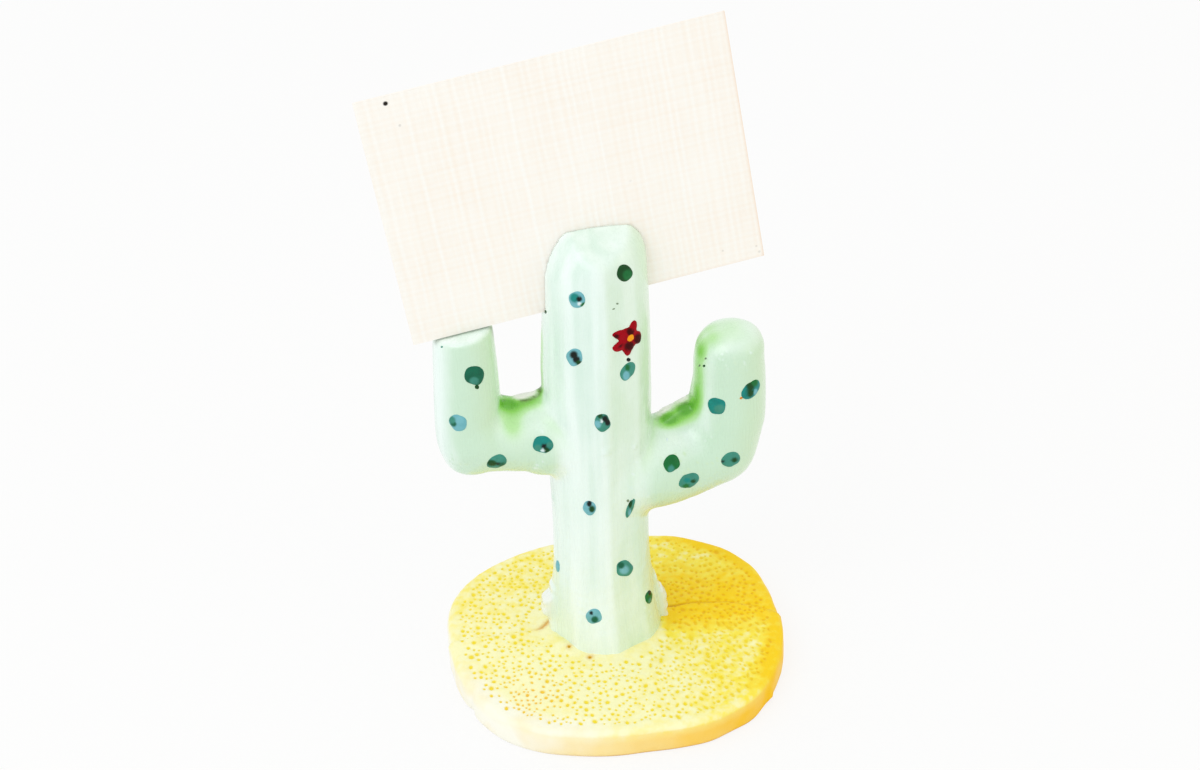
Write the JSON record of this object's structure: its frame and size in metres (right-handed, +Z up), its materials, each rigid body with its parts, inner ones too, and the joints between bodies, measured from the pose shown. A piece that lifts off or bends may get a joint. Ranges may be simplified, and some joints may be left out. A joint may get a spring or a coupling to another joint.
{
  "type": "place card holder",
  "caption": "Small cast cactus figure on a disc of sand, with a slot in its trunk that holds a blank card.",
  "frame": {"origin": "on the underside of the base, at the middle of its width and depth", "axes": "+Z up, +X to the right along the two arms and the card, +Y towards the back"},
  "size_m": [0.0583, 0.0494, 0.1024],
  "materials": {
    "cactus_figure": "hand-painted glossy mint enamel over cast resin, sand-yellow base",
    "place_card": "ivory card with an embossed linen weave"
  },
  "bodies": {
    "root": {"cactus_figure": "cactus_figure", "place_card": "place_card"}
  },
  "joints": []
}
